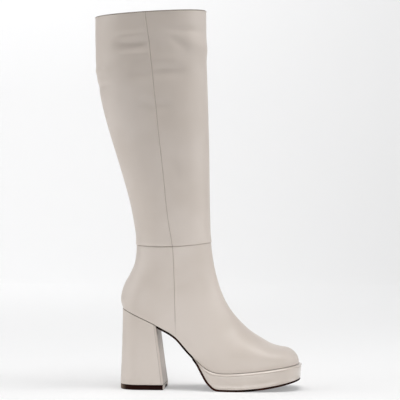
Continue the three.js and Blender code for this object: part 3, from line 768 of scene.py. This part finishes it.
stitch_drop = 1.2 * mm
stitch_pitch = 2.7 * mm
stitch_length = 1.6 * mm
thread_thickness = 0.85 * mm
stitch_stand = 0.05 * mm


def make_thread():
    """Twisted thread, a little darker than the skin."""
    material, tree, shader, place = new_material("cream_thread")
    waves = {"Vector": place, "Scale": 900.0, "Distortion": 1.5}
    twist = node(tree, "ShaderNodeTexWave", waves).outputs["Fac"]
    colour = blend_colours(tree, twist, (0.5, 0.44, 0.37, 1), (0.64, 0.57, 0.49, 1))
    roughness = fade(tree, twist, 0.0, 1.0, 0.6, 0.75)
    dress(tree, shader, colour, roughness, add_bump(tree, twist, 0.4, 0.08 * mm))
    return material


def make_stitch_tree():
    """Stitches along an edge: one stretched bead of thread at each pitch, turned along the edge."""
    tree = bpy.data.node_groups.new("stitches_along_edge", "GeometryNodeTree")
    sockets = [("Geometry", "NodeSocketGeometry"), ("Stitch Pitch", "NodeSocketFloat")]
    sockets += [("Stitch Length", "NodeSocketFloat"), ("Thread Thickness", "NodeSocketFloat")]
    sockets += [("Thread", "NodeSocketMaterial")]
    for name, kind in sockets:
        tree.interface.new_socket(name, in_out="INPUT", socket_type=kind)
    tree.interface.new_socket("Geometry", in_out="OUTPUT", socket_type="NodeSocketGeometry")
    start = tree.nodes.new("NodeGroupInput").outputs
    line = node(tree, "GeometryNodeMeshToCurve", {"Mesh": start["Geometry"]}).outputs["Curve"]
    spaced = {"Curve": line, "Length": start["Stitch Pitch"]}
    points = node(tree, "GeometryNodeCurveToPoints", spaced, mode="LENGTH")
    bead = node(tree, "GeometryNodeMeshUVSphere", {"Segments": 8, "Rings": 6, "Radius": 0.5})
    size = {"X": start["Thread Thickness"], "Y": start["Thread Thickness"], "Z": start["Stitch Length"]}
    scale = node(tree, "ShaderNodeCombineXYZ", size).outputs["Vector"]
    turned = node(tree, "FunctionNodeAlignRotationToVector", {"Vector": points.outputs["Tangent"]}, axis="Z")
    placed = {"Points": points.outputs["Points"], "Instance": bead.outputs["Mesh"]}
    placed["Rotation"] = turned.outputs["Rotation"]
    placed["Scale"] = scale
    beads = node(tree, "GeometryNodeInstanceOnPoints", placed).outputs["Instances"]
    real = node(tree, "GeometryNodeRealizeInstances", {"Geometry": beads}).outputs["Geometry"]
    smooth = node(tree, "GeometryNodeSetShadeSmooth", {"Geometry": real}).outputs["Geometry"]
    threaded = node(tree, "GeometryNodeSetMaterial", {"Geometry": smooth, "Material": start["Thread"]})
    end = tree.nodes.new("NodeGroupOutput")
    tree.links.new(threaded.outputs["Geometry"], end.inputs["Geometry"])
    return tree


def set_inputs(modifier, values):
    """Sets a geometry modifier's inputs by their sockets' identifiers."""
    for socket in modifier.node_group.interface.items_tree:
        if socket.item_type == "SOCKET" and socket.name in values:
            modifier[socket.identifier] = values[socket.name]


def make_collar_stitches():
    core, away = shaft_rings(np.array([collar_place - stitch_drop]))
    line = (core + away * (shaft_softness(core) + stitch_stand)[..., None])[0]
    mesh = bpy.data.meshes.new("collar_stitch_line")
    count = len(line)
    edges = [(k, (k + 1) % count) for k in range(count)]
    mesh.from_pydata((line + (back_of_boot, 0, 0)).tolist(), edges, [])
    guide = add_object("collar_stitch_line", mesh)
    modifier = guide.modifiers.new("stitches", "NODES")
    modifier.node_group = make_stitch_tree()
    values = {"Stitch Pitch": stitch_pitch, "Stitch Length": stitch_length}
    set_inputs(modifier, values | {"Thread Thickness": thread_thickness, "Thread": make_thread()})
    sewn = bpy.data.meshes.new_from_object(guide.evaluated_get(bpy.context.evaluated_depsgraph_get()))
    bpy.data.objects.remove(guide)
    return add_object("collar_stitches", sewn)


stitches = make_collar_stitches()
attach(stitches, "root")


# Platform
# A light cork or foam block under the forefoot, wrapped in the upper's skin before it is stuck on. The wrap
# makes a full rounded bead along the top edge and a tighter roll along the bottom one.

platform_margin = 2.2 * mm
platform_taper = 1 * mm
bead_height = 2.3 * mm
bead_depth = 2.1 * mm
bead_push = 0.4 * mm
bead_power = 1.35
bead_groove = 0.3 * mm
roll_radius = 0.9 * mm
wrap_push = 1 * mm
wedge_rows = np.array([
    (0.4225, 0.012), (0.4510, 0.085), (0.4760, 0.300), (0.4985, 0.555), (0.5200, 0.766), (0.5390, 0.920),
    (0.5575, 0.980), (0.5800, 1.000),
])
wedge_depth = through_rows(wedge_rows[:, 0], wedge_rows[:, 1])
wedge_tip = wedge_rows[0, 0] * last_length
tread_end = 0.655
tread_power = 1.85


def line_below(height, x, gap):
    """Height of a line that runs below another, with a gap measured square to it."""
    step = 0.01 * last_length
    slope = (height(x + step) - height(x - step)) / (2 * step)
    return height(x) - gap * np.hypot(1, slope)


def platform_top(x):
    return line_below(underside, x, sole_gap)


def platform_bottom(x):
    along = x / last_length
    spring = np.maximum(0, (along - tread_end) / (1 - tread_end)) ** tread_power
    flat = outsole_thickness + fit_gap + toe_spring * spring
    depth = np.where(along < wedge_rows[-1, 0], wedge_depth(along), 1)
    return platform_top(x) - depth * (platform_top(x) - flat)


def sole_margin(x):
    return platform_margin * ease_in((x / last_length - 0.41) / 0.06)


def edge_half(x, side, margin):
    toe = rounding(last_length + margin - x, toe_rounding + margin, toe_power)
    heel = rounding(x - (seat_setback - margin), heel_rounding + margin, heel_power)
    return toe * heel * (plan_half[side](x / last_length) * ball_width + margin)


def stations(start, tip, steps=96, turning=26):
    """Places along the sole from start to the toe's tip, closer together where the outline turns."""
    stretch = last_length - nose_length
    straight = np.linspace(start, stretch, steps)
    turn = np.sin(np.pi / 2 * np.arange(1, turning + 1) / turning)
    return np.concatenate([straight, stretch + (tip - stretch) * turn])


def layer_points(x, outer, inner, z):
    """One layer's outline: out along the outer side and back along the inner one."""
    near = np.stack([x, outer, z], axis=-1)
    far = np.stack([x, inner, z], axis=-1)
    return np.concatenate([near, far[::-1]])


def make_slab(name, layers, materials, slots=None, sharp_angle=50, lines_and_shade=None):
    """Closed block from outlines stacked from the bottom up, each with as many points."""
    count = len(layers[0])
    half = count // 2
    sides = grid_faces(len(layers), count, wrap_columns=True)
    k = np.arange(half - 1)
    across = count - 1 - k
    bottom = np.stack([k, across, across - 1, k + 1], axis=-1)
    top = (len(layers) - 1) * count
    upper_face = np.stack([top + k, top + k + 1, top + across - 1, top + across], axis=-1)
    faces = np.concatenate([sides, bottom, upper_face])
    if slots is not None:
        slots = np.concatenate([np.repeat(slots, count), np.full(len(bottom), slots[0])])
        slots = np.concatenate([slots, np.full(len(upper_face), slots[-1])])
    return make_piece(name, np.concatenate(layers), faces, materials, slots, sharp_angle, lines_and_shade=lines_and_shade)


def make_platform():
    def layer(inset, height):
        x = stations(wedge_tip, last_length + platform_margin - inset)
        thick = platform_top(x) - platform_bottom(x)
        margin = sole_margin(x) - inset
        outer = middle(x) - edge_half(x, "outer", margin)
        inner = middle(x) + edge_half(x, "inner", margin)
        pushed = x + wrap_push * ease_in((x / last_length - 0.82) / 0.18)
        return layer_points(pushed, outer, inner, platform_bottom(x) + height(thick))

    def from_bottom(rise):
        return lambda thick: np.minimum(rise, 0.22 * thick * rise / roll_radius)

    def from_top(fall):
        least = 0.98 - 0.4 * fall / (bead_height + 2 * bead_groove)
        return lambda thick: np.maximum(thick - fall, least * thick)

    def wall(share):
        low = 1.6 * roll_radius
        high = bead_height + 4 * bead_groove
        return lambda thick: np.maximum(low + share * (thick - low - high), (0.35 + 0.2 * share) * thick)

    layers = [layer(platform_taper + 3 * roll_radius, from_bottom(0))]
    for turn in np.linspace(0, np.pi / 2, 6):
        inset = platform_taper + roll_radius * (1 - np.sin(turn))
        layers.append(layer(inset, from_bottom(roll_radius * (1 - np.cos(turn)))))
    layers.append(layer(platform_taper + 0.12 * mm, from_bottom(1.25 * roll_radius)))
    for share in np.linspace(0, 1, 7):
        layers.append(layer(platform_taper * (1 - share), wall(share)))
    for fall, inset in ((2.2, 0.45), (1.4, 0.9), (0.8, 1), (0.35, 0.55)):
        layers.append(layer(bead_groove * inset, from_top(bead_height + fall * bead_groove)))
    for turn in np.linspace(0, np.pi / 2, 10):
        rise = bead_height * np.sin(turn) ** (2 / bead_power)
        drawn_in = bead_depth * (1 - np.maximum(0, np.cos(turn)) ** (2 / bead_power))
        layers.append(layer(drawn_in - bead_push * np.cos(turn) ** 2, from_top(bead_height - rise)))
    layers.append(layer(bead_depth + 0.5 * mm, from_top(0.1 * mm)))
    skin = make_cream("cream_platform", cream_tone, 0.34, coat=0.7, uneven=0.1)
    return make_slab("platform_wrap", layers, [skin])


platform = make_platform()
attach(platform, "root")
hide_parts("platform")


# Outsole
# A thin moulded sheet of dark brown rubber, stuck on under the platform and up the waist to the heel's
# breast. Its cut edge shows all round as a fine line, slightly redder than the scuffed tread.

heel_top_length = 45 * mm
outsole_inset = 0.9 * mm
outsole_chamfer = 0.4 * mm


def make_rubber(name, dark, warm, painted_sheen_from=None):
    """Dark brown rubber: fine moulded grain, grey scuffs at the floor, and a painted highlight in a lighter
    brown at the end where one is named."""
    material, tree, shader, place = new_material(name)
    fine = mottle(tree, place, 700.0, 3.0)
    colour = blend_colours(tree, fade(tree, mottle(tree, place, 60.0, 3.0), 0.35, 0.65), dark, warm)
    at_floor = fade(tree, read_axis(tree, place, "Z"), 0.8 * mm, 0.0)
    scuffed = calculate(tree, "MULTIPLY", at_floor, fade(tree, fine, 0.45, 0.65))
    colour = blend_colours(tree, calculate(tree, "MULTIPLY", scuffed, 0.35), colour, (0.1, 0.085, 0.075, 1))
    if painted_sheen_from is not None:
        # Painted highlight: the back end is lightened to a warm brown over 11 mm.
        worn = fade(tree, read_axis(tree, place, "X"), painted_sheen_from, painted_sheen_from + 11 * mm, 0.9, 0.0)
        colour = blend_colours(tree, worn, colour, (0.2, 0.145, 0.105, 1))
    dress(tree, shader, colour, fade(tree, fine, 0.3, 0.7, 0.38, 0.6), add_bump(tree, fine, 0.25, 0.1 * mm))
    shader.inputs["Specular IOR Level"].default_value = 0.06
    return material


def outsole_top(x):
    return np.where(x < wedge_tip, platform_top(x), line_below(platform_bottom, x, fit_gap))


def make_outsole():
    start = seat_setback + heel_top_length + 2 * fit_gap

    def layer(share, inset):
        margin = platform_margin - outsole_inset - inset
        x = stations(start, last_length + margin, steps=150)
        step = 0.5 * mm
        behind = np.where(np.arange(len(x)) > 0, step, 0)
        ahead = np.where(x < x[-1] - step, step, 0)
        span = np.where(ahead + behind > 0, ahead + behind, step)
        slope = (outsole_top(x + ahead) - outsole_top(x - behind)) / span
        length = np.hypot(1, slope)
        across = sole_margin(x) - outsole_inset - inset
        outer = middle(x) - edge_half(x, "outer", across)
        inner = middle(x) + edge_half(x, "inner", across)
        placed_x = np.maximum(start, x + share * outsole_thickness * slope / length)
        z = np.maximum(0, outsole_top(x) - share * outsole_thickness / length)
        return layer_points(placed_x, outer, inner, z)

    rubber = make_rubber("outsole_rubber", (0.01, 0.002, 0.001, 1), (0.026, 0.006, 0.0025, 1))
    rim = make_rubber("outsole_rim", (0.007, 0.0015, 0.0006, 1), (0.034, 0.007, 0.0028, 1))
    steps = ((1, outsole_chamfer), (0.92, 0.15 * mm), (0.8, 0), (0.15, 0), (0, 0.1 * mm))
    layers = [layer(share, inset) for share, inset in steps]
    return make_slab("outsole_sheet", layers, [rubber, rim], slots=[0, 1, 1, 1])


outsole = make_outsole()
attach(outsole, "root")
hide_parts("outsole")


# Heel
# A moulded plastic block, flared and D-shaped in plan, wrapped in the upper's skin. The wrap meets itself at
# the two corners of the breast and is folded under along the bottom edge, where it shows as a fine roll.

heel_foot_length = 57.5 * mm
heel_foot_width = 59 * mm
heel_waisting = 2 * mm
lift_thickness = 6 * mm
lift_inset = 0.3 * mm
breast_corner = 2.7 * mm
corner_cut = 2.1 * mm
corner_crease = 0.28 * mm
crease_reach = 1.5 * mm
crease_width = 0.6 * mm
line_width = 0.42 * mm
edge_reach = 0.5 * mm
edge_cut = 0.4 * mm
wrap_joint = 0.35 * mm
heel_roll = 1.1 * mm


def heel_outline(down, height, inset, steps=44, corner_steps=16):
    """Outline of the heel at a share of the way down from the seat."""
    drawn_in = heel_waisting * 4 * down * (1 - down)
    back = seat_setback - heel_flare * down**1.6 + inset
    longer = down * (heel_foot_length - heel_flare - heel_top_length)
    breast = seat_setback + heel_top_length + longer - inset
    facet = breast_corner + crease_reach
    bend = (breast - facet - back) * (1 - np.cos(np.pi / 2 * np.arange(steps) / steps))
    corner = breast - facet + facet * np.sin(np.pi / 2 * np.arange(corner_steps + 1) / corner_steps)
    x = np.concatenate([back + bend, corner])
    turn = rounding(x - back, heel_rounding, heel_power)
    on_facet = np.clip(1 - (breast - x) / breast_corner, 0, 1)
    edge = np.clip(1 - (breast - x) / edge_reach, 0, 1)
    crease = corner_crease * np.exp(-(((breast - x - breast_corner) / crease_width) ** 2))
    cut = corner_cut * on_facet**1.3 + edge_cut * edge**2 + crease
    x = np.concatenate([x, breast - wrap_joint * np.array([0.6, 1, 0.6, 0, 0, 0])])
    inwards = np.array([0.35, 0.75, 1.2, 1.8, 6, 11]) * mm
    halves = {}
    for side in ("outer", "inner"):
        plan = plan_half[side](0.1) * ball_width
        full = plan + (heel_foot_width / 2 - plan) * down - drawn_in - inset
        half = np.maximum(0, turn * full - cut)
        halves[side] = np.concatenate([half, half[-1] - inwards])
    return layer_points(x, -halves["outer"], halves["inner"], height(x))


def heel_line_and_shade_marks(steps=44, corner_steps=16):
    """Dark marks on the outline: the joints, and painted shade at the corners' creases and beside the
    joints.
    """
    bend = np.zeros(steps)
    turn = np.sin(np.pi / 2 * np.arange(corner_steps + 1) / corner_steps)
    reach = (breast_corner + crease_reach) * (1 - turn)
    # Painted shade in the crease beside each corner's facet.
    crease = 0.75 * np.exp(-(((reach - breast_corner) / line_width) ** 2))
    # The dark joints, then painted shade that fades over 11 mm onto the breast.
    joint_and_shade = np.array([0.9, 1, 0.7, 0.55, 0.45, 0])
    half = np.concatenate([bend, crease, joint_and_shade])
    return np.concatenate([half, half[::-1]])


def make_heel():
    floor_end = lift_thickness + fit_gap

    def level(down):
        return lambda x: floor_end + (1 - down) * (line_below(underside, x, sole_gap) - floor_end)

    layers = []
    full = heel_height - floor_end
    for turn in np.linspace(0, np.pi / 2, 5):
        rise = heel_roll * (1 - np.cos(turn))
        inset = heel_roll * (1 - np.sin(turn))
        layers.append(heel_outline(1, lambda x, rise=rise: floor_end + rise + 0 * x, inset))
    for rise, inset in ((1.3 * mm, 0), (1.75 * mm, 0.16 * mm), (2.2 * mm, 0)):
        down = 1 - rise / full
        layers.append(heel_outline(down, level(down), inset))
    for down in np.linspace(1 - 4 * mm / full, 1.4 * mm / full, 40):
        layers.append(heel_outline(down, level(down), 0))
    for drop, inset in ((0.7 * mm, 0.08 * mm), (0.3 * mm, 0.3 * mm), (0, 0.7 * mm)):
        layers.append(heel_outline(drop / full, level(drop / full), inset))
    skin = make_cream("cream_heel", cream_tone, 0.45, coat=0.0, shine=0.38, lines_and_shade=True)
    lines_and_shade = np.tile(heel_line_and_shade_marks(), (len(layers), 1))
    # Painted shade along the top, where the heel meets the upper's edge.
    lines_and_shade[-2:] = 1
    return make_slab("heel_wrap", layers, [skin], lines_and_shade=lines_and_shade.ravel())


heel = make_heel()
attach(heel, "root")
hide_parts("heel")


# Top lift
# The hard rubber pad that the heel stands on, dark brown as the outsole and cut a hair inside the wrap. Its
# back edge is painted a lighter brown, a painted highlight.


def make_lift():
    heel_back = back_of_boot + seat_setback - heel_flare

    def layer(z, inset):
        return heel_outline(1, lambda x: z + 0 * x, lift_inset + inset)

    edge = 0.6 * mm
    layers = [layer(0, edge), layer(0.2 * mm, 0.2 * mm), layer(edge, 0)]
    layers += [layer(lift_thickness - 0.3 * mm, 0), layer(lift_thickness, 0.25 * mm)]
    dark = (0.011, 0.0012, 0.0003, 1)
    rubber = make_rubber("top_lift_rubber", dark, (0.018, 0.0035, 0.001, 1), painted_sheen_from=heel_back)
    return make_slab("heel_lift", layers, [rubber])


lift = make_lift()
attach(lift, "root")
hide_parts("top_lift")


# Breast flap
# The tongue of the heel's wrap that comes down over the front of the top lift and is cut off short of the
# floor, with a shallow notch in its middle through which the dark lift shows.

flap_clear = 0.6 * mm
joint_points = 6
flap_thickness = 0.25 * mm
flap_reach = 0.9 * mm
notch_half = 17 * mm
notch_height = 3.8 * mm
notch_middle = 4 * mm


def make_flap():
    outline = heel_outline(1, lambda x: 0 * x, lift_inset - 0.03 * mm)
    half = len(outline) // 2
    reach = outline[half, 0] - flap_reach
    near = outline[:half - joint_points]
    near = near[near[:, 0] > reach]
    far = outline[half + joint_points:]
    far = far[far[:, 0] > reach]
    across = np.linspace(near[-1], far[0], 41)[1:-1]
    path = np.concatenate([near, across, far])[:, :2]
    along = np.gradient(path, axis=0)
    away = np.stack([along[:, 1], -along[:, 0]], axis=-1)
    away /= np.linalg.norm(away, axis=-1, keepdims=True)
    opened = np.clip(2 - 2 * np.abs(path[:, 1] - notch_middle) / notch_half, 0, 1)
    low = flap_clear + notch_height * opened
    high = lift_thickness + 0.15 * mm
    sheets = []
    for offset, shares in ((flap_thickness, np.linspace(0, 1, 6)), (0, np.linspace(1, 0, 6))):
        xy = path + offset * away
        z = low + shares[:, None] * (high - low)
        x, y = (np.broadcast_to(xy[:, axis], z.shape) for axis in (0, 1))
        sheets.append(np.stack([x, y, z], axis=-1))
    grid = np.concatenate(sheets, axis=0)
    faces = grid_faces(*grid.shape[:2], wrap_rows=True)
    piece = make_piece("breast_flap", grid, faces, [bpy.data.materials["cream_heel"]], sharp_angle=30)
    work = bmesh.new()
    work.from_mesh(piece.data)
    bmesh.ops.holes_fill(work, edges=[edge for edge in work.edges if edge.is_boundary])
    bmesh.ops.recalc_face_normals(work, faces=work.faces)
    work.to_mesh(piece.data)
    work.free()
    return piece


flap = make_flap()
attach(flap, "root")


# Floor and backdrop
# One seamless white sweep: a paper floor that bends up into the wall a long way behind the boot.


def make_sweep():
    material, tree, shader, place = new_material("white_paper")
    shader.inputs["Base Color"].default_value = (0.65, 0.65, 0.653, 1)
    shader.inputs["Roughness"].default_value = 0.9
    shader.inputs["Emission Color"].default_value = (1, 1, 1, 1)
    shader.inputs["Emission Strength"].default_value = 0.29
    bend = 0.5
    depth = 2.8
    front = -4.0
    top = 4.5
    half_width = 5.0
    turn = np.linspace(0, np.pi / 2, 24)
    profile = [(front, 0.0), (depth - bend, 0.0)]
    profile += [(depth - bend + bend * math.sin(a), bend - bend * math.cos(a)) for a in turn[1:]]
    profile.append((depth, top))
    x = np.array([-half_width, half_width])
    line = np.array(profile)
    grid = np.stack(np.broadcast_arrays(x[None, :], line[:, :1], line[:, 1:]), axis=-1)
    mesh = bpy.data.meshes.new("paper_sweep")
    faces = grid_faces(*grid.shape[:2])[:, ::-1]
    mesh.from_pydata(grid.reshape(-1, 3).tolist(), [], [list(map(int, face)) for face in faces])
    mesh.materials.append(material)
    mesh.shade_smooth()
    return add_object("paper_sweep", mesh)


sweep = make_sweep()


# Light
# Soft light from above and from both sides, one on the wall behind, and a low white card in front of the
# sole. A small warm one under the arch stands for the light that the paper throws on the heel's breast.


def add_softbox(name, position, target, width, height, power):
    light = bpy.data.lights.new(name, "AREA")
    light.shape = "RECTANGLE"
    light.size = width
    light.size_y = height
    light.energy = power
    lamp = add_object(name, light)
    lamp.location = position
    lamp.rotation_euler = (Vector(target) - Vector(position)).to_track_quat("-Z", "Y").to_euler()
    return lamp


def make_room():
    """White walls far away, which the camera sees past the paper's edges but which light nothing."""
    world = bpy.data.worlds.new("white_room")
    bpy.context.scene.world = world
    world.use_nodes = True
    background = world.node_tree.nodes["Background"]
    background.inputs["Color"].default_value = (0.86, 0.86, 0.87, 1)
    background.inputs["Strength"].default_value = 0.9
    world.cycles_visibility.diffuse = False
    world.cycles_visibility.glossy = False


make_room()
boot_middle = (0, 0, 0.22)
add_softbox("softbox_above", (0.3, -0.35, 2.1), boot_middle, 1.1, 0.9, 23)
add_softbox("softbox_above_left", (-0.6, -0.2, 2.0), boot_middle, 1.0, 0.9, 4.5)
add_softbox("softbox_left", (-1.84, -0.33, 0.9), boot_middle, 1.8, 2.0, 19.5)
add_softbox("softbox_right", (1.87, -0.2, 0.9), boot_middle, 1.6, 2.0, 16.5)
add_softbox("wall_light", (-1.1, 1.8, 1.9), (-1.0, 2.8, 0.6), 2.1, 0.5, 24.5)
card = add_softbox("white_card_in_front", (0.07, -0.36, 0.03), (0.07, 0, 0.025), 0.45, 0.06, 0.34)
card.visible_camera = False
reflector = add_softbox("reflector_under_arch", (-0.012, 0, 0.066), (-0.07, 0, 0.078), 0.06, 0.07, 0.0125)
reflector.data.color = (1, 0.95, 0.9)
reflector.visible_camera = False


# Camera
# The photo's view: nearly level, from 2.4 m away, turned 5 degrees towards the toe.

view_turn = math.radians(5)
view_distance = 2400 * mm
view_height = 267.1 * mm
aim = Vector((back_of_boot + 101.6 * mm, 0, 239.1 * mm))
focal_pixels = 1890
image_pixels = 400
sensor_width = 36

camera_data = bpy.data.cameras.new("photo_view")
camera_data.sensor_width = sensor_width
camera_data.lens = focal_pixels / image_pixels * sensor_width
camera = add_object("photo_view", camera_data)
camera.location = aim + Vector((math.sin(view_turn), -math.cos(view_turn), 0)) * view_distance
camera.location.z = view_height
camera.rotation_euler = (aim - camera.location).to_track_quat("-Z", "Y").to_euler()
bpy.context.scene.camera = camera
bpy.context.scene.view_settings.view_transform = "Standard"
